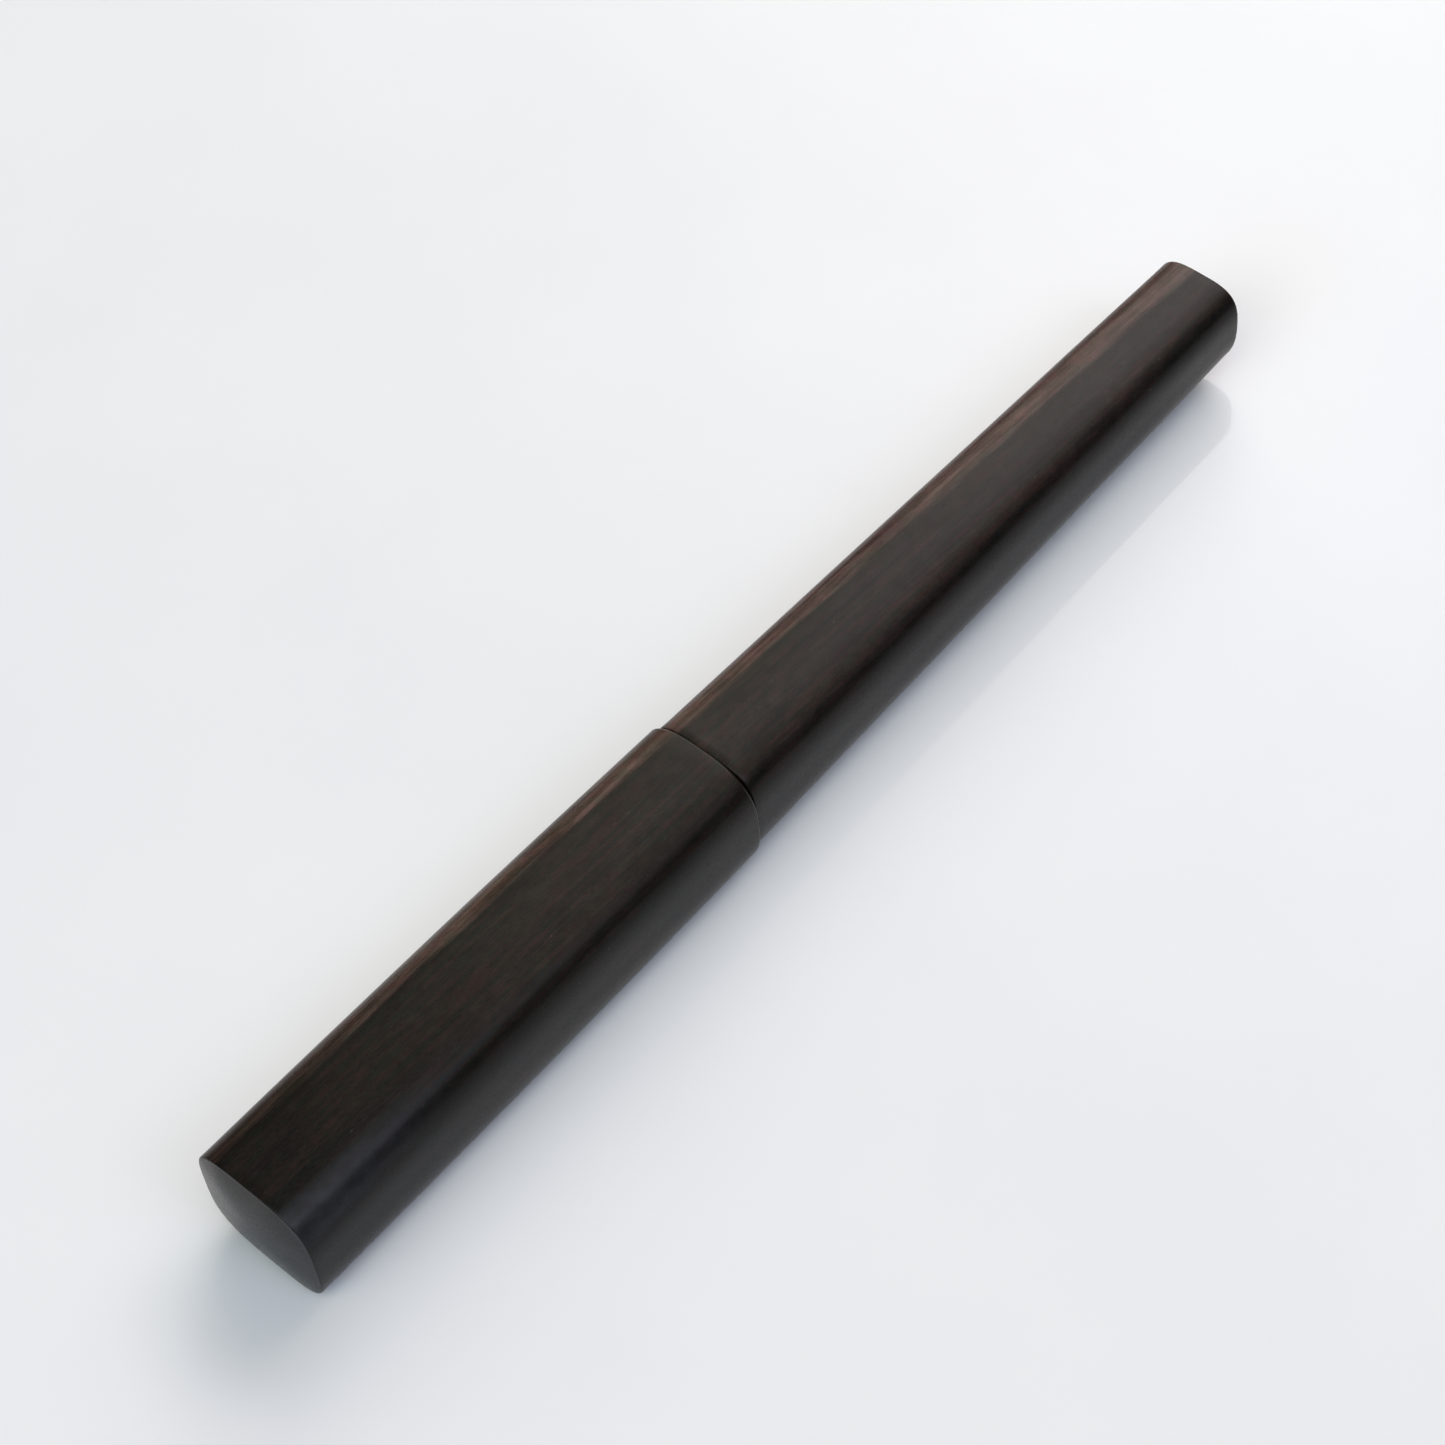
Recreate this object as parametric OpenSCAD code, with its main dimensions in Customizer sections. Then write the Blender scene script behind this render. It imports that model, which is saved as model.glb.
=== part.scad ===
// Dip pen holder with a pull-off cap, lying on its side, in millimetres.
//
// The pen lies along X: the cap's closed end is at -X and the barrel's tail at +X.
// +Z is up. The origin is on the surface it lies on, half way along the pen.
// Inside the cap, places are given by how far they are in front of the barrel's
// shoulder, which is towards -X.

/* [What to draw] */

// Piece to draw, or all of them together

/* [Whole pen] */

// Length from the cap's closed end to the barrel's tail
pen_length = 150; // [125:1:185]
// Length of the cap, closed end to mouth
cap_length = 65.6; // [60:0.1:75]
// Squareness of the cross-section: 2 is a circle, higher is squarer
section_power = 3.43; // [2.5:0.01:6]
// Gap left between the cap's mouth and the barrel's shoulder
mouth_gap = 0.15; // [0.05:0.01:0.3]

/* [Cap] */

// Width across the flats at the closed end
cap_end_width = 15.55; // [14:0.05:18]
// Width across the flats at the mouth
cap_mouth_width = 14.6; // [13.8:0.05:17]
// How far each side swells out half way along the cap
cap_swell = 0.14; // [0:0.01:0.5]
// Height of the dome on the closed end
cap_dome = 0.9; // [0.2:0.1:3]
// Rounding of the sharp edge around the closed end
cap_edge = 0.2; // [0.1:0.05:1]
// Rounding of the softer edge around the mouth
mouth_edge = 0.5; // [0.1:0.05:0.7]
// Depth that the planed flat under the cap takes off at the closed end
rest_flat_depth = 0.225; // [0.1:0.005:0.4]
// Radius of the hole drilled in the cap
cap_bore_r = 5.7; // [5.5:0.05:6]
// Thickness left at the closed end, dome included
cap_end_wall = 4.2; // [3:0.1:8]
// Wall of the brass liner
liner_wall = 0.4; // [0.3:0.05:0.6]
// How far the liner stops short of the cap's mouth
liner_inset = 0.8; // [0.3:0.1:2]

/* [Barrel] */

// Width across the flats at the shoulder
shoulder_width = 13.8; // [12:0.05:16]
// Width across the flats at the tail
tail_width = 10.75; // [9:0.05:13]
// Rounding of the edge around the tail
tail_edge = 0.5; // [0.3:0.1:2]
// Height of the dome on the tail
tail_dome = 0.7; // [0.2:0.1:2]

/* [Grip] */

// Radius of the collar that slides in the liner
collar_r = 5.22; // [5:0.01:5.25]
// Length of the collar
collar_length = 9; // [7:0.5:14]
// How far the grip's front end stands in front of the shoulder
grip_length = 27; // [24:0.5:32]
// Radius at the back of the finger rest
grip_back_r = 4.95; // [4.5:0.05:5.1]
// Radius at the waist, where the fingers close
grip_waist_r = 4.45; // [4.2:0.05:5]
// Radius of the lip at the front
grip_lip_r = 4.7; // [4.3:0.05:5]
// Radius of the tang glued in the barrel
tang_r = 4; // [3:0.1:4.5]
// Length of the tang
tang_length = 16; // [8:1:25]
// Thickness of the rubber friction ring
ring_thickness = 1.2; // [0.8:0.1:1.6]
// How far the friction ring stands out of the collar
ring_proud = 0.04; // [0.02:0.01:0.06]

/* [Nib and its socket] */

// Outside radius of the brass ferrule
ferrule_r = 3.5; // [3.4:0.05:3.8]
// Wall of the ferrule
ferrule_wall = 0.35; // [0.3:0.05:0.5]
// Length of the ferrule
ferrule_length = 11; // [9:0.5:14]
// How far the ferrule stands out of the grip
ferrule_proud = 1; // [0.5:0.1:2]
// Thickness of the spring clip's tongues
tongue_wall = 0.3; // [0.2:0.05:0.4]
// Thickness of the nib
nib_thickness = 0.3; // [0.2:0.05:0.35]
// Length of the nib
nib_length = 29.8; // [26:0.1:31]
// How far the nib goes into the ferrule
nib_seat = 8.8; // [7:0.1:10]
// Half of the angle that the nib's shank bends round
nib_half_angle = 72; // [60:1:85]

/* [Hidden] */

// Along the pen
closed_end_x = -pen_length / 2;
tail_x = pen_length / 2;
mouth_x = closed_end_x + cap_length;
shoulder_x = mouth_x + mouth_gap;
axis_height = cap_end_width / 2 - rest_flat_depth;

// Smoothness, clearances and small edges
section_points = 96;     // corners round the wooden sections
round_fn = 96;           // smoothness of the turned pieces
apex_flat = 0.15;        // flat at the top of each dome, as a share of its width
shoulder_edge = 0.15;    // chamfer around the barrel's shoulder
glue_gap = 0.02;         // room for glue or a press fit inside one body
slip_gap = 0.06;         // room on each face of the nib in its socket
cut = 1;                 // how far a cutting tool runs past a surface

// Inside the cap, as distances in front of the shoulder
liner_bore_r = cap_bore_r - liner_wall;
cap_bore_end = cap_length - cap_end_wall;
ferrule_bore_r = ferrule_r - ferrule_wall;
ferrule_front = grip_length + ferrule_proud;
ferrule_back = ferrule_front - ferrule_length;
nib_back = ferrule_front - nib_seat;
nib_front = nib_back + nib_length;
nib_outer_r = ferrule_bore_r - slip_gap;
nib_inner_r = nib_outer_r - nib_thickness;
tongue_outer_r = nib_inner_r - slip_gap;

// Grip and friction ring
tang_chamfer = 0.4;      // lead-in at the end of the tang
tang_end_gap = 0.4;      // glue space past the end of the tang
collar_step = 0.6;       // length of the slope from the collar to the finger rest
lip_length = 1;          // length of the rounded front of the grip
lip_round = 0.5;         // how far that rounding comes in
waist_at = 0.55;         // place of the waist, as a share of the finger rest
ring_tube_r = ring_thickness / 2;
ring_centre_r = collar_r + ring_proud - ring_tube_r;
ring_place = collar_length * 0.55;
ring_side_gap = 0.05;    // room on each side of the ring in its groove

// Spring clip and nib
clip_inset = 0.2;        // how far the clip's base is from the ferrule's back and the nib
clip_base_depth = 1;     // how far the clip's base ring stands in from its tongues
clip_overlap = 0.5;      // length over which the base ring and the tongues are one
tongue_inset = 0.6;      // how far the tongues stop short of the ferrule's front
tongue_slot = 1.5;       // width of the slots between the tongues
nib_corner = 0.3;        // cut-off corners at the back of the nib
nib_point_half = 0.14;   // half width of the nib's point
nib_parallel = 3;        // length of the nib's straight sides in front of the ferrule
vent_r = 0.6;            // radius of the hole where the nib's slit ends
vent_distance = 8.5;     // from the ferrule's front to that hole
slit_width = 0.12;       // width of the nib's slit

// Radius of a superellipse of half width 1 at the angle a
function section_r(a) =
    1 / pow(pow(abs(cos(a)), section_power) + pow(abs(sin(a)), section_power), 1 / section_power);

// Corners of a rounded-square ring across the pen at x
function section_ring(x, half) = [
    for (i = [0:section_points - 1])
        let (a = 360 * i / section_points, r = half * section_r(a))
            [x, r * cos(a), axis_height + r * sin(a)]
];

// Stations [x, half width] over a domed end, from a small flat at its apex to the
// start of the pen's side. sign is +1 when the dome faces +X.
function domed_end(apex_x, half, dome, edge, sign) = [
    for (f = [apex_flat, 0.4, 0.65, 0.85, 1])
        let (sag = dome * (f * f - apex_flat * apex_flat) / (1 - apex_flat * apex_flat))
            [apex_x - sign * sag, f * (half - edge)],
    for (a = [30:30:90])
        [apex_x - sign * (dome + edge * (1 - cos(a))), half - edge * (1 - sin(a))],
];

// Half width of the cap at the fraction t of the way from its edge to its mouth
function cap_half(t) =
    (cap_end_width * (1 - t) + cap_mouth_width * t) / 2 + cap_swell * 4 * t * (1 - t);

function reversed(list) = [for (i = [len(list) - 1:-1:0]) list[i]];

// Solid skinned over stations [x, half width], given in order of rising x
module skinned(stations) {
    n = section_points;
    last = len(stations) - 1;
    rings = [for (s = stations) each section_ring(s[0], s[1])];
    sides = [
        for (k = [0:last - 1], i = [0:n - 1])
            let (j = (i + 1) % n, a = k * n + i, b = k * n + j)
                each [[a, b, b + n], [a, b + n, a + n]]
    ];
    ends = [
        [for (i = [n - 1:-1:0]) i],
        [for (i = [0:n - 1]) last * n + i],
    ];
    polyhedron(points = rings, faces = concat(sides, ends), convexity = 4);
}

// Puts a turned piece, drawn along +Z from the shoulder, inside the cap
module in_front_of_shoulder() {
    translate([shoulder_x, 0, axis_height]) rotate([0, -90, 0]) children();
}

// Tube along +Z between two depths
module tube(from, to, outer, inner) {
    difference() {
        translate([0, 0, from]) cylinder(h = to - from, r = outer, $fn = round_fn);
        translate([0, 0, from - cut]) cylinder(h = to - from + 2 * cut, r = inner, $fn = round_fn);
    }
}

// The cap: a rounded-square wooden shell, drilled from its mouth
module cap_body() {
    edge_x = closed_end_x + cap_dome + cap_edge;
    steps = 10;
    long_sides = [
        for (i = [1:steps])
            let (t = i / steps)
                [edge_x + (mouth_x - mouth_edge - edge_x) * t, cap_half(t)]
    ];
    mouth_round = [
        for (a = [30:30:90])
            [
                mouth_x - mouth_edge * (1 - sin(a)),
                cap_mouth_width / 2 - mouth_edge * (1 - cos(a)),
            ]
    ];
    stations = concat(
        domed_end(closed_end_x, cap_end_width / 2, cap_dome, cap_edge, -1),
        long_sides,
        mouth_round
    );
    color([0.16, 0.13, 0.11])
        difference() {
            skinned(stations);
            translate([mouth_x - cap_bore_end, 0, axis_height]) rotate([0, 90, 0])
                cylinder(h = cap_bore_end + cut, r = cap_bore_r, $fn = round_fn);
            translate([closed_end_x - cut, -cap_end_width, -cap_end_width])
                cube([cap_length + 2 * cut, 2 * cap_end_width, cap_end_width]);
        }
}

// The thin brass tube glued in the cap, which the friction ring rubs on
module cap_liner() {
    color([0.78, 0.62, 0.3])
        in_front_of_shoulder()
            tube(
                mouth_gap + liner_inset,
                mouth_gap + cap_bore_end - glue_gap,
                cap_bore_r - glue_gap,
                liner_bore_r
            );
}

// The barrel: tapers to a domed tail and is drilled for the grip's tang
module barrel_body() {
    stations = concat(
        [
            [shoulder_x, shoulder_width / 2 - shoulder_edge],
            [shoulder_x + shoulder_edge, shoulder_width / 2],
        ],
        reversed(domed_end(tail_x, tail_width / 2, tail_dome, tail_edge, 1))
    );
    color([0.15, 0.12, 0.1])
        difference() {
            skinned(stations);
            translate([shoulder_x - cut, 0, axis_height]) rotate([0, 90, 0])
                cylinder(h = tang_length + tang_end_gap + cut, r = tang_r + glue_gap, $fn = round_fn);
        }
}

// Outline of the turned grip as [radius, depth], from the tang to the front
function grip_outline() =
    let (
        groove_half = ring_tube_r + ring_side_gap,
        groove_r = ring_centre_r - ring_tube_r - glue_gap,
        rest_start = collar_length + collar_step,
        rest_length = grip_length - lip_length - rest_start
    )
    [
        [0, -tang_length],
        [tang_r - tang_chamfer, -tang_length],
        [tang_r, -tang_length + tang_chamfer],
        [tang_r, glue_gap],
        [collar_r, glue_gap],
        [collar_r, ring_place - groove_half],
        [groove_r, ring_place - groove_half],
        [groove_r, ring_place + groove_half],
        [collar_r, ring_place + groove_half],
        [collar_r, collar_length],
        for (i = [0:14])
            let (
                f = i / 14,
                back = f < waist_at,
                g = back ? f / waist_at : (f - waist_at) / (1 - waist_at),
                blend = (1 - cos(180 * g)) / 2,
                from = back ? grip_back_r : grip_waist_r,
                to = back ? grip_waist_r : grip_lip_r
            )
                [from + (to - from) * blend, rest_start + rest_length * f],
        for (a = [30:30:90])
            [grip_lip_r - lip_round * (1 - cos(a)), grip_length - lip_length * (1 - sin(a))],
        [0, grip_length],
    ];

// The turned finger grip, with its tang and the socket for the ferrule
module grip() {
    color([0.1, 0.09, 0.085])
        in_front_of_shoulder()
            difference() {
                rotate_extrude($fn = round_fn) polygon(grip_outline());
                translate([0, 0, ferrule_back - glue_gap])
                    cylinder(h = ferrule_length + cut, r = ferrule_r + glue_gap, $fn = round_fn);
            }
}

// The rubber ring in the collar's groove
module friction_ring() {
    color([0.05, 0.05, 0.05])
        in_front_of_shoulder()
            translate([0, 0, ring_place])
                rotate_extrude($fn = round_fn)
                    translate([ring_centre_r, 0]) circle(r = ring_tube_r, $fn = 32);
}

// The brass tube pressed in the front of the grip
module nib_ferrule() {
    color([0.8, 0.64, 0.32])
        in_front_of_shoulder()
            tube(ferrule_back, ferrule_front, ferrule_r, ferrule_bore_r);
}

// The spring clip inside the ferrule: a base ring and four tongues
module nib_clip() {
    base_end = nib_back - clip_inset;
    color([0.7, 0.7, 0.72])
        in_front_of_shoulder() {
            difference() {
                union() {
                    tube(
                        ferrule_back + clip_inset,
                        base_end,
                        ferrule_bore_r - glue_gap,
                        tongue_outer_r - clip_base_depth
                    );
                    tube(
                        base_end - clip_overlap,
                        ferrule_front - tongue_inset,
                        tongue_outer_r,
                        tongue_outer_r - tongue_wall
                    );
                }
                for (turn = [0, 90])
                    rotate(turn)
                        translate([-ferrule_r, -tongue_slot / 2, base_end])
                            cube([2 * ferrule_r, tongue_slot, ferrule_length]);
            }
        }
}

// Half of the nib's plan outline as [depth, half width], from its back to its tip
function nib_edge() =
    let (
        shank = nib_outer_r * sin(nib_half_angle),
        blade = nib_front - ferrule_front - nib_parallel
    )
    [
        [nib_back, shank - nib_corner],
        [nib_back + nib_corner, shank],
        for (i = [0:10])
            let (f = i / 10)
                [
                    nib_front - blade * (1 - f),
                    nib_point_half + (shank - nib_point_half) * pow(1 - f, 1.25),
                ],
    ];

// The pointed steel nib, its hollow side facing down
module nib() {
    half = nib_edge();
    outline = concat(
        [for (p = half) [p[0], p[1]]],
        [for (p = reversed(half)) [p[0], -p[1]]]
    );
    vent_place = ferrule_front + vent_distance;
    color([0.6, 0.61, 0.63])
        intersection() {
            in_front_of_shoulder()
                tube(nib_back - cut, nib_front + cut, nib_outer_r, nib_inner_r);
            translate([shoulder_x, 0, axis_height])
                difference() {
                    linear_extrude(nib_outer_r + cut) mirror([1, 0]) polygon(outline);
                    translate([-vent_place, 0, 0])
                        cylinder(h = nib_outer_r + 2 * cut, r = vent_r, $fn = 32);
                    translate([-nib_front - cut, -slit_width / 2, -cut])
                        cube([nib_front + cut - vent_place, slit_width, nib_outer_r + 3 * cut]);
                }
        }
}

cap_body();
cap_liner();
barrel_body();
grip();
friction_ring();
nib_ferrule();
nib_clip();
nib();
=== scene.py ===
"""Looks for the capped dip pen holder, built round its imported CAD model.

The pen lies along X, with the cap's closed end at -X. Lengths in the tables of sizes
are millimetres, and turn into Blender's metres where the meshes are made.
"""

import math

import bmesh
import bpy
from mathutils import Matrix, Vector, noise


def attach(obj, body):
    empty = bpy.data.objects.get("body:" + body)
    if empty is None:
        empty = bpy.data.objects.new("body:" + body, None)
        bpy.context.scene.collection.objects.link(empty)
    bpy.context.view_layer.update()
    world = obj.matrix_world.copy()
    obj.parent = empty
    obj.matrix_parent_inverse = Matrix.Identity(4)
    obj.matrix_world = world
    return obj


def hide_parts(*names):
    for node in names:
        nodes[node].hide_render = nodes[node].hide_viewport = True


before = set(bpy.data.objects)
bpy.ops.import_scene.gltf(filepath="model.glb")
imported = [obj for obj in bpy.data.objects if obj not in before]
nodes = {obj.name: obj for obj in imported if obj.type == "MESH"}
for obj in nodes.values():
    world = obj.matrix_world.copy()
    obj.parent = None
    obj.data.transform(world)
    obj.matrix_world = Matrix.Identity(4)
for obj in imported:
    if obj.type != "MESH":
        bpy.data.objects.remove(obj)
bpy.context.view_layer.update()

MM = 0.001

# ---------------------------------------------------------------- sizes, as in the CAD

PEN_LENGTH = 150.0
CAP_LENGTH = 65.6
SECTION_POWER = 3.43
MOUTH_GAP = 0.15
CAP_END_WIDTH = 15.55
CAP_MOUTH_WIDTH = 14.6
CAP_SWELL = 0.14
CAP_DOME = 0.9
CAP_EDGE = 0.2
CAP_RIM_ROUND = 0.5
CAP_BORE_R = 5.7
CAP_END_WALL = 4.2
REST_FLAT_DEPTH = 0.225
SHOULDER_WIDTH = 13.8
SHOULDER_EDGE = 0.15
TAIL_WIDTH = 10.75
TAIL_EDGE = 0.5
TAIL_DOME = 0.7
TANG_R = 4.02
TANG_DEPTH = 16.4

CLOSED_END_X = -PEN_LENGTH / 2
TAIL_X = PEN_LENGTH / 2
MOUTH_X = CLOSED_END_X + CAP_LENGTH
SHOULDER_X = MOUTH_X + MOUTH_GAP
AXIS_HEIGHT = CAP_END_WIDTH / 2 - REST_FLAT_DEPTH

ROUND_POINTS = 224   # points round each wooden section
LONG_STEP = 1.0      # spacing of the rings along the pen
DOME_RINGS = 24      # rings over each domed end
EDGE_RINGS = 8       # rings round the edge of a domed end
RIM_RINGS = 10       # rings over the cap's rim, after the first
SHOULDER_RINGS = 4   # rings over the shoulder's edge, after the first

HAND_CUT = 0.03      # how far the planed sides wander
BORE_LIP = 0.05      # depth of the small step where the cap's bore begins
BORE_CHAMFER = 0.12  # chamfer behind that step
BORE_BREAK = 0.05    # the small bevel at the bottom of both bores

# The cap's rim was fitted to the shoulder by hand. They nearly meet along the flat
# sides, and both are cut back at the four corners.
RIM_FORWARD = 0.08     # how far the rim stands in front of its nominal place on the sides
RIM_CORNER_CUT = 0.10  # how much further back it is at the corners
RIM_ROUND = 0.28       # its rounding on the sides
CORNER_ROUND = 0.25    # what the corners add to that
RIM_CLEAR = 0.5        # the last plain ring stands this far behind CAP_RIM_ROUND
SHOULDER_CORNER_CUT = 0.12

# The tail's underside is sanded back. The cut grows with the square of the depth below
# the axis, and would be this much at the table's height, which the tail is clear of.
TAIL_UNDERCUT = 3.2
TAIL_CUT_REACH = 6.0   # how far along the barrel the cut is felt


# ---------------------------------------------------------------- meshes

def section_r(angle):
    """Radius of a superellipse of half width 1."""
    c = abs(math.cos(angle)) ** SECTION_POWER
    s = abs(math.sin(angle)) ** SECTION_POWER
    return (c + s) ** (-1 / SECTION_POWER)


def section_ring(x, half, hand_cut=0.0):
    """A rounded-square ring across the pen. hand_cut lets its sides wander a little."""
    ring = []
    for i in range(ROUND_POINTS):
        angle = 2 * math.pi * i / ROUND_POINTS
        outward = Vector((0, math.cos(angle), math.sin(angle)))
        point = outward * half * section_r(angle)
        if hand_cut:
            wander = noise.noise(Vector((x * 0.05, point.y * 0.16, point.z * 0.16)))
            point -= outward * hand_cut * (0.5 + wander)
        ring.append(Vector((x, point.y, max(AXIS_HEIGHT + point.z, 0.0))))
    return ring


def round_ring(x, r):
    """A circular ring across the pen."""
    turns = (2 * math.pi * i / ROUND_POINTS for i in range(ROUND_POINTS))
    return [Vector((x, r * math.cos(a), AXIS_HEIGHT + r * math.sin(a))) for a in turns]


def domed_end(apex_x, half, dome, edge, sign):
    """Stations (x, half width) over a domed end. sign is +1 when the dome faces +X."""
    stations = []
    for i in range(1, DOME_RINGS + 1):
        f = i / DOME_RINGS
        stations.append((apex_x - sign * dome * f * f, f * (half - edge)))
    for i in range(1, EDGE_RINGS + 1):
        a = math.pi / 2 * i / EDGE_RINGS
        stations.append((
            apex_x - sign * (dome + edge * (1 - math.cos(a))),
            half - edge * (1 - math.sin(a)),
        ))
    return stations


def cap_half(t):
    """Half width of the cap at the fraction t of the way from its edge to its mouth."""
    taper = (CAP_END_WIDTH * (1 - t) + CAP_MOUTH_WIDTH * t) / 2
    return taper + CAP_SWELL * 4 * t * (1 - t)


def skin(name, rings, first_apex, last_apex):
    """One closed mesh through rings, each end closed by a fan round an apex point."""
    bm = bmesh.new()
    rows = [[bm.verts.new(p * MM) for p in ring] for ring in rings]
    count = len(rings[0])
    for row, next_row in zip(rows, rows[1:]):
        for i in range(count):
            j = (i + 1) % count
            bm.faces.new((row[i], row[j], next_row[j], next_row[i]))
    for row, apex in ((rows[0], first_apex), (rows[-1], last_apex)):
        tip = bm.verts.new(apex * MM)
        for i in range(count):
            bm.faces.new((row[i], tip, row[(i + 1) % count]))
    bmesh.ops.recalc_face_normals(bm, faces=bm.faces)
    mesh = bpy.data.meshes.new(name)
    bm.to_mesh(mesh)
    bm.free()
    mesh.shade_smooth()
    piece = bpy.data.objects.new(name, mesh)
    bpy.context.scene.collection.objects.link(piece)
    return piece


def between(start, end, step):
    """Evenly spaced values from start to end, both left out."""
    count = max(2, round(abs(end - start) / step))
    return [start + (end - start) * i / count for i in range(1, count)]


def corner_share(point):
    """0 in the middle of a flat side, rising to 1 at a corner of the section."""
    return math.sin(2 * math.atan2(point.z - AXIS_HEIGHT, point.y)) ** 4


def rim_ring(turn):
    """A ring over the cap's rim. turn is 0 on the side and a right angle on the face."""
    ring = section_ring(MOUTH_X, CAP_MOUTH_WIDTH / 2, HAND_CUT)
    for point in ring:
        corner = corner_share(point)
        r = RIM_ROUND + CORNER_ROUND * corner
        shrink = 1 - r * (1 - math.cos(turn)) / (CAP_MOUTH_WIDTH / 2)
        point.x += RIM_FORWARD - RIM_CORNER_CUT * corner - r * (1 - math.sin(turn))
        point.y *= shrink
        point.z = AXIS_HEIGHT + (point.z - AXIS_HEIGHT) * shrink
    return ring


def undercut_tail(ring):
    """Sets a ring near the tail back towards its underside, where the edge was sanded off."""
    for point in ring:
        share = max(0.0, (point.x - TAIL_X + TAIL_CUT_REACH) / TAIL_CUT_REACH)
        low = max(0.0, 1 - point.z / AXIS_HEIGHT)
        point.x -= TAIL_UNDERCUT * share * low * low
    return ring


def make_cap():
    """The cap's shell: outside, rounded rim, drilled bore and the bore's flat bottom."""
    half_end = CAP_END_WIDTH / 2
    outline = domed_end(CLOSED_END_X, half_end, CAP_DOME, CAP_EDGE, -1)
    edge_x = CLOSED_END_X + CAP_DOME + CAP_EDGE
    round_x = MOUTH_X - CAP_RIM_ROUND
    for x in between(edge_x, round_x - RIM_CLEAR, LONG_STEP):
        outline.append((x, cap_half((x - edge_x) / (round_x - edge_x))))
    rings = [section_ring(x, half, HAND_CUT if x > edge_x else 0.0) for x, half in outline]
    rings += [rim_ring(math.pi / 2 * i / RIM_RINGS) for i in range(RIM_RINGS + 1)]
    lip_x = MOUTH_X - BORE_LIP
    bore_x = lip_x - BORE_CHAMFER
    bottom_x = CLOSED_END_X + CAP_END_WALL
    rings.append(round_ring(lip_x, CAP_BORE_R + BORE_CHAMFER))
    rings.append(round_ring(bore_x, CAP_BORE_R))
    for x in between(bore_x, bottom_x, 6.0):
        rings.append(round_ring(x, CAP_BORE_R))
    rings.append(round_ring(bottom_x + BORE_BREAK, CAP_BORE_R))
    rings.append(round_ring(bottom_x, CAP_BORE_R - BORE_BREAK))
    return skin(
        "cap_shell",
        rings,
        Vector((CLOSED_END_X, 0, AXIS_HEIGHT)),
        Vector((bottom_x, 0, AXIS_HEIGHT)),
    )


def make_barrel():
    """The barrel: drilled shoulder, long tapering sides and domed tail."""
    bottom_x = SHOULDER_X + TANG_DEPTH
    rings = [
        round_ring(bottom_x, TANG_R - BORE_BREAK),
        round_ring(bottom_x - BORE_BREAK, TANG_R),
    ]
    for x in between(bottom_x, SHOULDER_X, 4.0):
        rings.append(round_ring(x, TANG_R))
    rings.append(round_ring(SHOULDER_X, TANG_R))
    half = SHOULDER_WIDTH / 2
    for i in range(SHOULDER_RINGS + 1):
        a = math.pi / 2 * i / SHOULDER_RINGS
        ring = section_ring(
            SHOULDER_X + SHOULDER_EDGE * (1 - math.cos(a)),
            half - SHOULDER_EDGE * (1 - math.sin(a)),
        )
        for point in ring:
            point.x += SHOULDER_CORNER_CUT * corner_share(point)
        rings.append(ring)
    tail = domed_end(TAIL_X, TAIL_WIDTH / 2, TAIL_DOME, TAIL_EDGE, 1)
    start_x = SHOULDER_X + SHOULDER_EDGE
    end_x = tail[-1][0]
    for x in between(start_x, end_x, LONG_STEP):
        t = (x - start_x) / (end_x - start_x)
        taper = half + (TAIL_WIDTH / 2 - half) * t
        rings.append(undercut_tail(section_ring(x, taper, HAND_CUT)))
    for x, tail_half in reversed(tail):
        rings.append(undercut_tail(section_ring(x, tail_half)))
    return skin(
        "barrel_wood",
        rings,
        Vector((bottom_x, 0, AXIS_HEIGHT)),
        Vector((TAIL_X, 0, AXIS_HEIGHT)),
    )


# ---------------------------------------------------------------- material helpers

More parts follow.
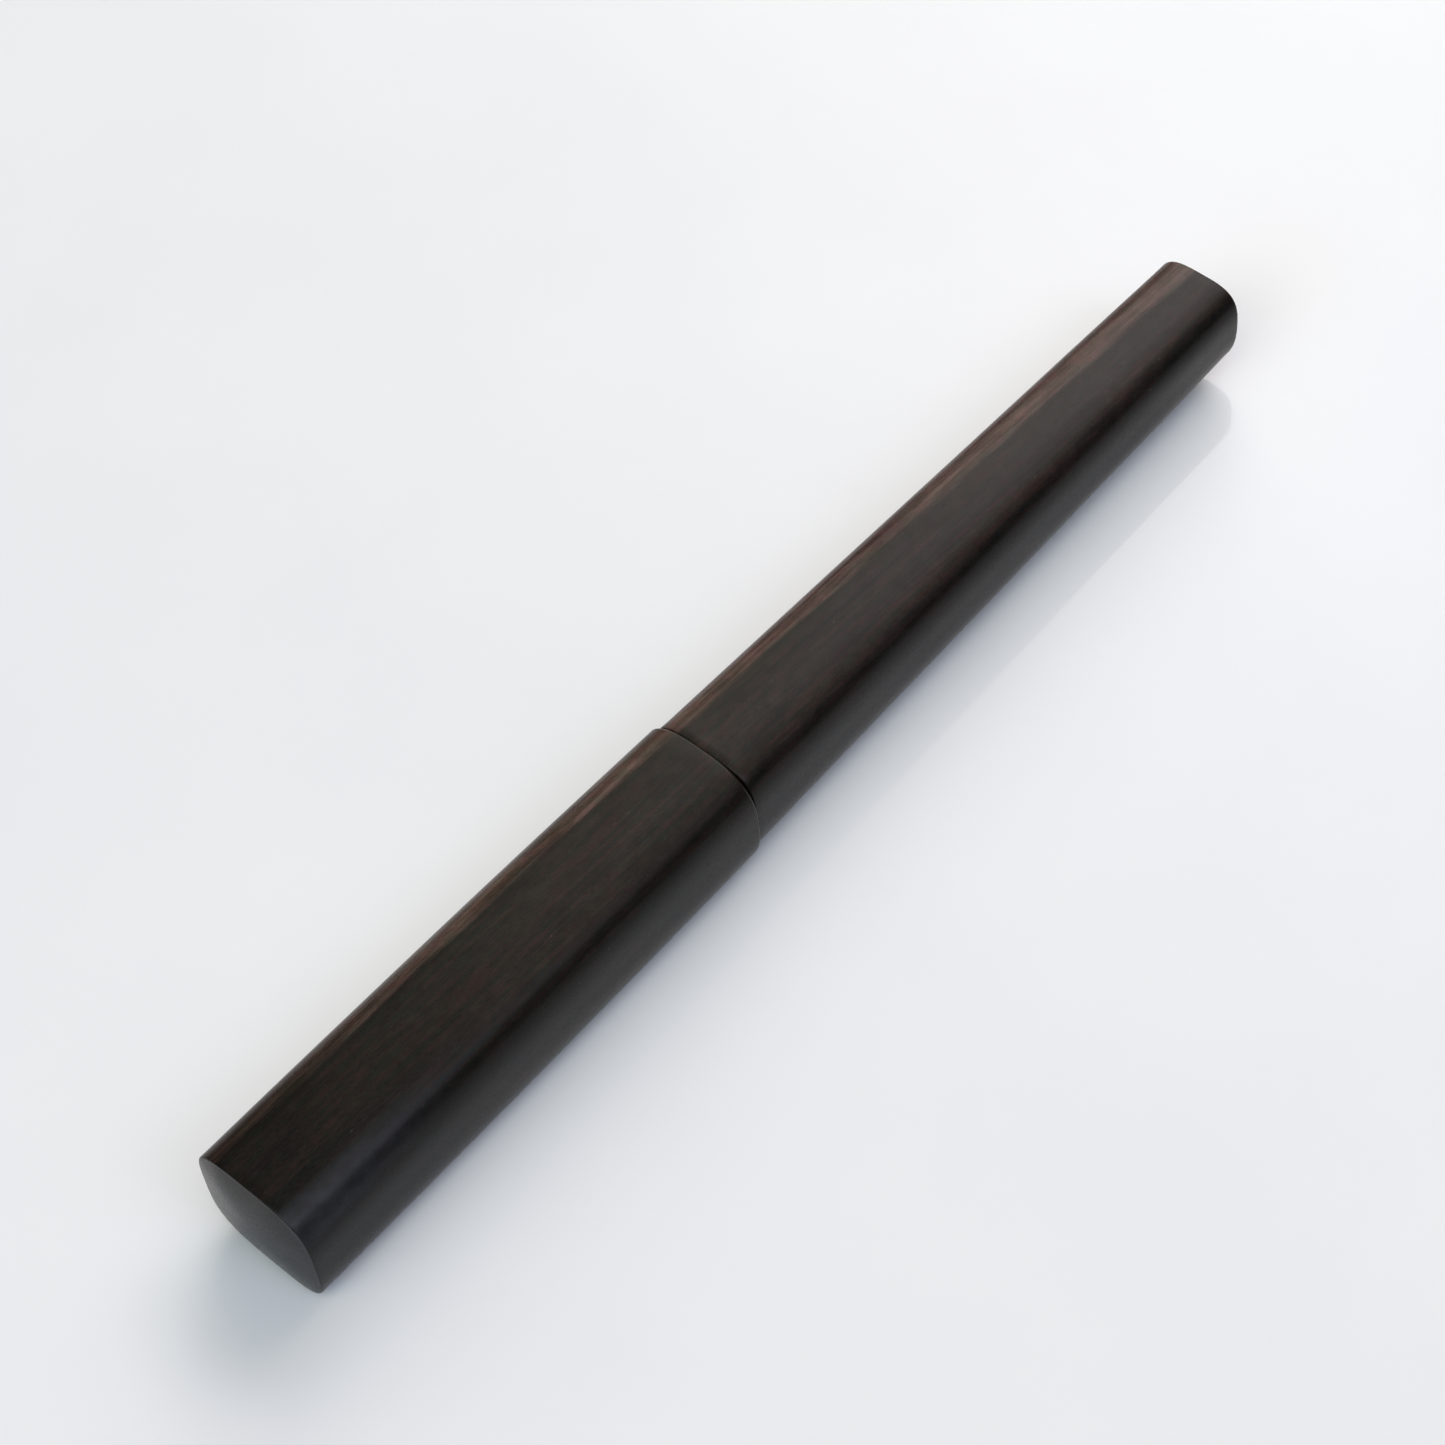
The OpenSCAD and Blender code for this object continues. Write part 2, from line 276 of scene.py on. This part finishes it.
class Graph:
    """A small wrapper that adds shader nodes and joins them up."""

    def __init__(self, name):
        self.material = bpy.data.materials.new(name)
        self.material.use_nodes = True
        self.tree = self.material.node_tree
        self.tree.nodes.clear()

    def feed(self, socket, value):
        if isinstance(value, bpy.types.NodeSocket):
            self.tree.links.new(value, socket)
        elif value is not None:
            socket.default_value = value

    def add(self, kind, settings=None, **inputs):
        node = self.tree.nodes.new("ShaderNode" + kind)
        for key, value in (settings or {}).items():
            setattr(node, key, value)
        for key, value in inputs.items():
            self.feed(node.inputs[key.replace("_", " ")], value)
        return node

    def math(self, operation, a, b=None, clamp=False):
        node = self.add("Math", {"operation": operation, "use_clamp": clamp})
        self.feed(node.inputs[0], a)
        self.feed(node.inputs[1], b)
        return node.outputs[0]

    def vector(self, operation, a, b):
        node = self.add("VectorMath", {"operation": operation})
        self.feed(node.inputs[0], a)
        self.feed(node.inputs[1], b)
        return node.outputs[0]

    def noise(self, place, detail=3.0, roughness=0.55):
        node = self.add("TexNoise", Vector=place, Scale=1.0, Detail=detail, Roughness=roughness)
        return node.outputs["Fac"]

    def span(self, value, low, high, to_low=0.0, to_high=1.0, smooth=True):
        """Maps value from low..high to to_low..to_high, held at the ends."""
        kind = "SMOOTHSTEP" if smooth else "LINEAR"
        node = self.add("MapRange", {"interpolation_type": kind}, Value=value)
        self.feed(node.inputs["From Min"], low)
        self.feed(node.inputs["From Max"], high)
        self.feed(node.inputs["To Min"], to_low)
        self.feed(node.inputs["To Max"], to_high)
        return node.outputs["Result"]

    def mix(self, share, a, b, blend="MIX"):
        node = self.add("Mix", {"data_type": "RGBA", "blend_type": blend})
        self.feed(node.inputs["Factor"], share)
        self.feed(node.inputs["A"], a)
        self.feed(node.inputs["B"], b)
        return node.outputs["Result"]

    def ramp(self, value, stops):
        node = self.add("ValToRGB", Fac=value)
        points = node.color_ramp.elements
        while len(points) < len(stops):
            points.new(0.5)
        for point, (place, colour) in zip(points, stops):
            point.position = place
            point.color = (*colour, 1)
        return node.outputs["Color"]

    def axes(self, place):
        return self.add("SeparateXYZ", Vector=place).outputs[:]

    def stretched(self, place, along, across):
        """Scales the place differently along the pen and across it."""
        return self.vector("MULTIPLY", place, (along, across, across))

    def shaded(self, colour, shade):
        """Colour times a grey value."""
        scale = self.add("VectorMath", {"operation": "SCALE"}, Scale=shade)
        self.feed(scale.inputs[0], colour)
        return scale.outputs[0]

    def millimetres(self):
        """The place on the object, in millimetres."""
        return self.vector("MULTIPLY", self.add("TexCoord").outputs["Object"], (1000, 1000, 1000))

    def surface(self, colour, roughness, bump=None, depth=0.1, **inputs):
        shader = self.add("BsdfPrincipled", Base_Color=colour, Roughness=roughness, **inputs)
        if bump is not None:
            lift = self.add("Bump", Height=bump, Distance=depth * MM, Strength=1.0)
            self.feed(shader.inputs["Normal"], lift.outputs["Normal"])
        out = self.add("OutputMaterial")
        self.tree.links.new(shader.outputs[0], out.inputs["Surface"])
        return self.material


# ---------------------------------------------------------------- materials

# The grain leans towards -Y on its way along +X, and more so near the tail:
# after x mm it has moved GRAIN_LEAN * x + GRAIN_BEND * x * x mm.
GRAIN_LEAN = 0.025
GRAIN_BEND = 0.00016


class Ebony(Graph):
    """Oiled ebony, with the patterns that its colour, sheen and relief share."""

    def __init__(self, name):
        super().__init__(name)
        self.place = self.millimetres()
        self.x, self.y, self.z = self.axes(self.place)
        self.grain = self.leaning_grain()
        self.broad = self.noise(self.stretched(self.grain, 0.010, 0.35), 3.0)
        self.streaks = self.noise(self.stretched(self.grain, 0.022, 0.75), 2.0)
        self.lines = self.noise(self.stretched(self.grain, 0.080, 2.2), 2.0)
        self.threads = self.noise(self.stretched(self.grain, 1.60, 6.0), 2.0)
        self.clouds = self.noise(self.stretched(self.place, 0.10, 0.35), 3.0)
        self.mottle = self.noise(self.stretched(self.place, 0.55, 0.90), 2.0)

    def product(self, *factors):
        total = factors[0]
        for factor in factors[1:]:
            total = self.math("MULTIPLY", total, factor)
        return total

    def leaning_grain(self):
        """The place, moved so that the grain leans across the pen and sways a little."""
        sway = self.math("SUBTRACT", self.noise(self.stretched(self.place, 0.020, 0.05), 2.0), 0.5)
        sway = self.math("MULTIPLY", sway, 1.2)
        lean = self.math("ADD", self.math("MULTIPLY", self.x, GRAIN_BEND), GRAIN_LEAN)
        drift = self.math("ADD", self.math("MULTIPLY", self.x, lean), sway)
        shift = self.add("CombineXYZ", X=0.0, Y=drift, Z=sway).outputs[0]
        return self.vector("ADD", self.place, shift)

    def heartwood(self):
        """Greenish black streaks among dark pinkish brown ones."""
        broad = self.math("MULTIPLY", self.broad, 0.35)
        tone = self.math("ADD", broad, self.math("MULTIPLY", self.streaks, 0.65))
        return self.ramp(tone, (
            (0.34, (0.0056, 0.0060, 0.0050)),
            (0.43, (0.0106, 0.0072, 0.0054)),
            (0.48, (0.0064, 0.0066, 0.0053)),
            (0.54, (0.0128, 0.0082, 0.0063)),
            (0.60, (0.0072, 0.0070, 0.0055)),
            (0.70, (0.0150, 0.0098, 0.0074)),
        ))

    def with_band(self, colour):
        """Adds the reddish band along one long corner, which widens towards the tail.

        Just inside it the heartwood is at its darkest.
        """
        ruddy = self.ramp(self.lines, (
            (0.34, (0.0250, 0.0155, 0.0118)),
            (0.50, (0.0350, 0.0225, 0.0175)),
            (0.66, (0.0450, 0.0305, 0.0245)),
        ))
        across = self.axes(self.grain)[1]
        ragged = self.math("MULTIPLY", self.math("SUBTRACT", self.lines, 0.5), 1.2)
        band = self.product(
            self.span(self.math("ADD", across, ragged), 2.75, 3.95),
            self.span(self.z, 5.0, 10.0),
            self.span(self.streaks, 0.30, 0.50, 0.70, 1.0),
        )
        border = self.span(across, 1.6, 2.8, 0.0, 0.70)
        colour = self.mix(border, colour, (0.0062, 0.0058, 0.0050, 1))
        return self.mix(band, colour, ruddy)

    def with_mottle_and_painted_light(self, colour):
        """Shades the colour by fine and coarse mottling, and by painted light: a fade towards the
        closed end, and painted shade and reflection on the side that faces -Y.
        """
        # Painted shade high on the side that faces -Y, and a painted reflection of the table,
        # lighter, low on it. Both come in as the sides narrow with the pen.
        narrowed = self.span(self.x, -40.0, TAIL_X, 1.0, 1.5, smooth=False)
        side = self.span(self.math("MULTIPLY", self.y, narrowed), -4.8, -7.4)
        painted_side_light = self.math("SUBTRACT", self.span(self.z, 2.5, 10.0, 1.5, 0.45), 1.0)
        return self.shaded(colour, self.product(
            self.span(self.lines, 0.30, 0.70, 0.94, 1.07),
            self.span(self.threads, 0.30, 0.70, 0.93, 1.07),
            self.span(self.clouds, 0.30, 0.70, 0.86, 1.16),
            self.span(self.mottle, 0.30, 0.70, 0.85, 1.16),
            # Painted light: the wood is made darkest at the closed end and lighter from the cap's
            # middle on, standing in for light that fades towards the closed end.
            self.span(self.x, CLOSED_END_X, CLOSED_END_X + 45, 0.85, 2.05),
            self.math("ADD", self.math("MULTIPLY", side, painted_side_light), 1.0),
        ))

    def with_tints(self, colour):
        """Leans patches of the wood to pink or to green, and the barrel to purple, partly its own
        tone and partly a painted purplish sheen.
        """
        leaning = self.ramp(self.noise(self.stretched(self.place, 0.45, 0.90), 3.0), (
            (0.38, (0.90, 1.03, 1.00)),
            (0.50, (1.02, 1.00, 0.98)),
            (0.62, (1.13, 0.97, 1.06)),
        ))
        colour = self.mix(1.0, colour, leaning, "MULTIPLY")
        on_barrel = self.span(self.x, MOUTH_X - 10, MOUTH_X + 30)
        # partly the barrel's own tone, partly a painted purplish sheen
        purple_tone_and_sheen = self.mix(on_barrel, (1.0, 1.0, 1.0, 1), (1.05, 0.98, 1.10, 1))
        return self.mix(1.0, colour, purple_tone_and_sheen, "MULTIPLY")

    def with_painted_bluish_sheen(self, colour):
        """Adds a painted sheen: dull bluish colour on the corner between the top and -Y, by the
        closed end.
        """
        towards_corner = self.math("SUBTRACT", self.math("SUBTRACT", self.z, AXIS_HEIGHT), self.y)
        # painted bluish sheen, not a coating
        painted_bluish_sheen = self.product(
            self.span(towards_corner, 11.3, 12.5),
            self.span(self.x, -48.0, -72.0),
            self.span(self.mottle, 0.30, 0.70, 0.65, 1.0),
        )
        return self.mix(painted_bluish_sheen, colour, (0.025, 0.025, 0.029, 1))

    def dashes(self, along, across, size, share, where=None):
        """Short strokes along the grain: one in some of the cells of a stretched grid."""
        cells = self.add("TexVoronoi", Vector=self.stretched(self.grain, along, across), Scale=1.0)
        lot = self.add("SeparateColor", Color=cells.outputs["Color"]).outputs["Red"]
        if where is not None:
            lot = self.math("DIVIDE", lot, where)
        chosen = self.math("LESS_THAN", lot, share)
        stroke = self.span(cells.outputs["Distance"], size, size * 0.4)
        return self.math("MULTIPLY", stroke, chosen)

    def wear_and_painted_highlight(self):
        """Where handling has rubbed the edges of the two ends, and a little the mouth's. The paler
        colour there is also a painted highlight along these edges.
        """
        worn_and_highlit = 0.0
        for edge_x, reach, strength in (
            (CLOSED_END_X + CAP_DOME, 0.45, 0.10),
            (MOUTH_X - 0.1, 0.40, 0.12),
            (TAIL_X - TAIL_DOME, 0.60, 0.30),
        ):
            away = self.math("ABSOLUTE", self.math("SUBTRACT", self.x, edge_x))
            worn_and_highlit = self.math("MAXIMUM", worn_and_highlit, self.span(away, reach, 0.0, 0.0, strength))
        return self.math("MULTIPLY", worn_and_highlit, self.span(self.clouds, 0.35, 0.60))


def ebony(name, turned=False):
    """Oiled ebony: streaked heartwood, one reddish band, pores, flecks and rubbed edges, with
    painted light, shade, sheen and highlight.
    """
    g = Ebony(name)
    colour = g.with_band(g.heartwood())
    colour = g.with_mottle_and_painted_light(colour)
    colour = g.with_tints(colour)
    colour = g.with_painted_bluish_sheen(colour)

    rows = g.span(g.lines, 0.48, 0.66, 0.15, 1.6)
    pores = g.dashes(0.40, 2.4, 0.17, 0.30)
    flecks = g.dashes(0.60, 2.6, 0.17, 0.060, rows)
    dots = g.dashes(1.3, 1.9, 0.13, 0.012)
    worn_and_highlit = g.wear_and_painted_highlight()
    for share, marking in (
        (g.math("MULTIPLY", pores, 0.28), (0.0030, 0.0026, 0.0023, 1)),
        (g.math("MULTIPLY", flecks, 0.55), (0.085, 0.072, 0.060, 1)),
        (g.math("MULTIPLY", dots, 0.7), (0.14, 0.125, 0.11, 1)),
        # rubbed edges, paler also as a painted highlight
        (worn_and_highlit, (0.034, 0.027, 0.022, 1)),
    ):
        colour = g.mix(share, colour, marking)

    height = g.math("ADD", g.math("MULTIPLY", g.threads, 0.12), g.math("MULTIPLY", g.lines, 0.12))
    height = g.math("ADD", height, g.math("MULTIPLY", g.mottle, 0.45))
    height = g.math("SUBTRACT", height, g.math("MULTIPLY", pores, 0.30))
    if turned:
        marks = g.noise(g.vector("MULTIPLY", g.place, (9.0, 0.05, 0.05)), 2.0)
        height = g.math("ADD", height, g.math("MULTIPLY", marks, 0.3))
    roughness = g.span(g.threads, 0.30, 0.70, 0.26, 0.33)
    roughness = g.math("ADD", roughness, g.math("MULTIPLY", pores, 0.25))
    roughness = g.math("SUBTRACT", roughness, g.math("MULTIPLY", worn_and_highlit, 0.20))
    return g.surface(colour, roughness, height, 0.007, IOR=1.5, Specular_IOR_Level=0.15)


def brass():
    """Drawn brass tube: fine lines round it and a slightly uneven tarnish."""
    g = Graph("brass_tube")
    place = g.millimetres()
    drawn = g.noise(g.vector("MULTIPLY", place, (14.0, 0.25, 0.25)), 3.0)
    tarnish = g.noise(g.vector("MULTIPLY", place, (0.35, 0.35, 0.35)), 4.0)
    colour = g.ramp(tarnish, (
        (0.35, (0.60, 0.41, 0.17)),
        (0.55, (0.78, 0.57, 0.26)),
        (0.70, (0.83, 0.63, 0.32)),
    ))
    dulled = g.span(tarnish, 0.5, 0.3, 0.0, 0.12)
    roughness = g.math("ADD", g.span(drawn, 0.3, 0.7, 0.18, 0.30), dulled)
    return g.surface(colour, roughness, drawn, 0.006, Metallic=1.0)


def steel(name, base, tint, low, high):
    """Rolled steel strip: lines along it and a thin film of oil."""
    g = Graph(name)
    place = g.millimetres()
    rolled = g.noise(g.vector("MULTIPLY", place, (0.4, 11.0, 11.0)), 3.0)
    film = g.noise(g.vector("MULTIPLY", place, (0.5, 0.5, 0.5)), 3.0)
    colour = g.ramp(film, ((0.35, tint), (0.6, base)))
    roughness = g.span(rolled, 0.3, 0.7, low, high)
    return g.surface(colour, roughness, rolled, 0.004, Metallic=1.0)


def rubber():
    """Matte black rubber with a faint bloom."""
    g = Graph("ring_rubber")
    bloom = g.noise(g.vector("MULTIPLY", g.millimetres(), (1.5, 1.5, 1.5)), 4.0)
    colour = g.ramp(bloom, ((0.35, (0.008, 0.008, 0.008)), (0.7, (0.022, 0.021, 0.020))))
    return g.surface(colour, g.span(bloom, 0.3, 0.7, 0.5, 0.7), bloom, 0.01, IOR=1.5)


def pale_floor():
    """A smooth pale table top that shows a faint, clear reflection."""
    g = Graph("pale_floor")
    marks = g.noise(g.vector("MULTIPLY", g.millimetres(), (0.02, 0.02, 0.02)), 4.0)
    colour = g.ramp(marks, ((0.3, (0.815, 0.806, 0.833)), (0.7, (0.845, 0.836, 0.860))))
    return g.surface(colour, g.span(marks, 0.3, 0.7, 0.03, 0.06), IOR=1.5, Specular_IOR_Level=0.25)


def give(piece, material):
    """Puts one material on the whole of a piece."""
    piece.data.materials.clear()
    piece.data.materials.append(material)


# ---------------------------------------------------------------- the pen

wood = ebony("ebony")
turned_wood = ebony("turned_ebony", turned=True)

cap = make_cap()
give(cap, wood)
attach(cap, "cap")
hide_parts("cap_body")

barrel = make_barrel()
give(barrel, wood)
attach(barrel, "holder")
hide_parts("barrel_body")

tube_brass = brass()
give(nodes["cap_liner"], tube_brass)
give(nodes["nib_ferrule"], tube_brass)
give(nodes["grip"], turned_wood)
give(nodes["friction_ring"], rubber())
give(nodes["nib_clip"], steel("clip_steel", (0.56, 0.57, 0.59), (0.42, 0.43, 0.46), 0.25, 0.4))
give(nodes["nib"], steel("nib_steel", (0.60, 0.60, 0.61), (0.40, 0.41, 0.45), 0.16, 0.30))


# ---------------------------------------------------------------- floor, light, camera

# The studio's glows: azimuth and elevation in degrees, tightness, and colour.
# Azimuth turns from +X towards +Y. The first five are windows beyond the tail, the next
# three a cooler room beyond the closed end, and the last two its dim right-hand side.
GLOWS = [
    (38, 32, 26, (4.7, 4.4, 3.6)),
    (0, 46, 26, (3.7, 3.4, 2.9)),
    (28, 46, 60, (1.9, 2.1, 2.5)),
    (10, 50, 50, (0.5, 0.3, 0.7)),
    (38, 48, 120, (1.2, 0.9, 0.9)),
    (180, 28, 20, (0.9, 1.5, 2.7)),
    (180, 48, 20, (2.4, 2.2, 1.2)),
    (240, 68, 20, (2.8, 3.3, 3.6)),
    (300, 54, 40, (0.6, 0.3, 0.2)),
    (278, 45, 60, (3.0, 3.5, 4.5)),
]

BACKDROP = (0.42, 0.43, 0.45)


def make_floor():
    """A flat table top, far wider than the view."""
    bm = bmesh.new()
    bmesh.ops.create_grid(bm, x_segments=4, y_segments=4, size=3.0)
    mesh = bpy.data.meshes.new("floor")
    bm.to_mesh(mesh)
    bm.free()
    floor = bpy.data.objects.new("floor", mesh)
    bpy.context.scene.collection.objects.link(floor)
    give(floor, pale_floor())


def direction(azimuth, elevation):
    """Unit vector. Azimuth turns from +X towards +Y, in degrees."""
    a = math.radians(azimuth)
    e = math.radians(elevation)
    return Vector((math.cos(e) * math.cos(a), math.cos(e) * math.sin(a), math.sin(e)))


def make_world():
    """A soft studio: a dim room and a few broad glows, each fading smoothly to nothing."""
    world = bpy.data.worlds.new("studio")
    world.use_nodes = True
    tree = world.node_tree
    tree.nodes.clear()
    view = tree.nodes.new("ShaderNodeTexCoord").outputs["Generated"]

    def number(operation, a, b=None):
        node = tree.nodes.new("ShaderNodeMath")
        node.operation = operation
        for socket, value in zip(node.inputs, (a, b)):
            if isinstance(value, bpy.types.NodeSocket):
                tree.links.new(value, socket)
            elif value is not None:
                socket.default_value = value
        return node.outputs[0]

    total = None
    for azimuth, elevation, tightness, colour in GLOWS:
        facing = tree.nodes.new("ShaderNodeVectorMath")
        facing.operation = "DOT_PRODUCT"
        tree.links.new(view, facing.inputs[0])
        facing.inputs[1].default_value = direction(azimuth, elevation)
        falloff = number("MULTIPLY", number("SUBTRACT", facing.outputs["Value"], 1.0), tightness)
        glow = tree.nodes.new("ShaderNodeVectorMath")
        glow.operation = "SCALE"
        glow.inputs[0].default_value = colour
        tree.links.new(number("POWER", math.e, falloff), glow.inputs["Scale"])
        if total is None:
            total = glow.outputs[0]
        else:
            add = tree.nodes.new("ShaderNodeVectorMath")
            tree.links.new(total, add.inputs[0])
            tree.links.new(glow.outputs[0], add.inputs[1])
            total = add.outputs[0]
    # Where the view looks past the table top it sees a plain backdrop, which sheds no light.
    backdrop = tree.nodes.new("ShaderNodeVectorMath")
    backdrop.operation = "SCALE"
    backdrop.inputs[0].default_value = BACKDROP
    seen = tree.nodes.new("ShaderNodeLightPath").outputs["Is Camera Ray"]
    tree.links.new(seen, backdrop.inputs["Scale"])
    visible = tree.nodes.new("ShaderNodeVectorMath")
    visible.operation = "MAXIMUM"
    tree.links.new(total, visible.inputs[0])
    tree.links.new(backdrop.outputs[0], visible.inputs[1])
    background = tree.nodes.new("ShaderNodeBackground")
    tree.links.new(visible.outputs[0], background.inputs["Color"])
    out = tree.nodes.new("ShaderNodeOutputWorld")
    tree.links.new(background.outputs[0], out.inputs["Surface"])
    bpy.context.scene.world = world


def make_camera(target, heading, elevation, roll, distance, lens):
    """Looks down at target. Heading is the way it faces, from +X towards +Y, in degrees."""
    forward = -direction(heading + 180, elevation)
    level = forward.cross(Vector((0, 0, 1))).normalized()
    upright = level.cross(forward)
    lean = math.radians(roll)
    right = level * math.cos(lean) + upright * math.sin(lean)
    up = upright * math.cos(lean) - level * math.sin(lean)
    data = bpy.data.cameras.new("camera")
    data.lens = lens
    data.sensor_width = 36
    data.clip_start = 0.01
    camera = bpy.data.objects.new("camera", data)
    turn = Matrix((right, up, -forward)).transposed()
    camera.matrix_world = Matrix.Translation(target - forward * distance) @ turn.to_4x4()
    bpy.context.scene.collection.objects.link(camera)
    bpy.context.scene.camera = camera


make_floor()
make_world()
make_camera(
    target=Vector((-2.1, 4.2, AXIS_HEIGHT)) * MM,
    heading=47.26,
    elevation=54.57,
    roll=-7.21,
    distance=0.3759,
    lens=89.9,
)
bpy.context.scene.view_settings.view_transform = "Standard"
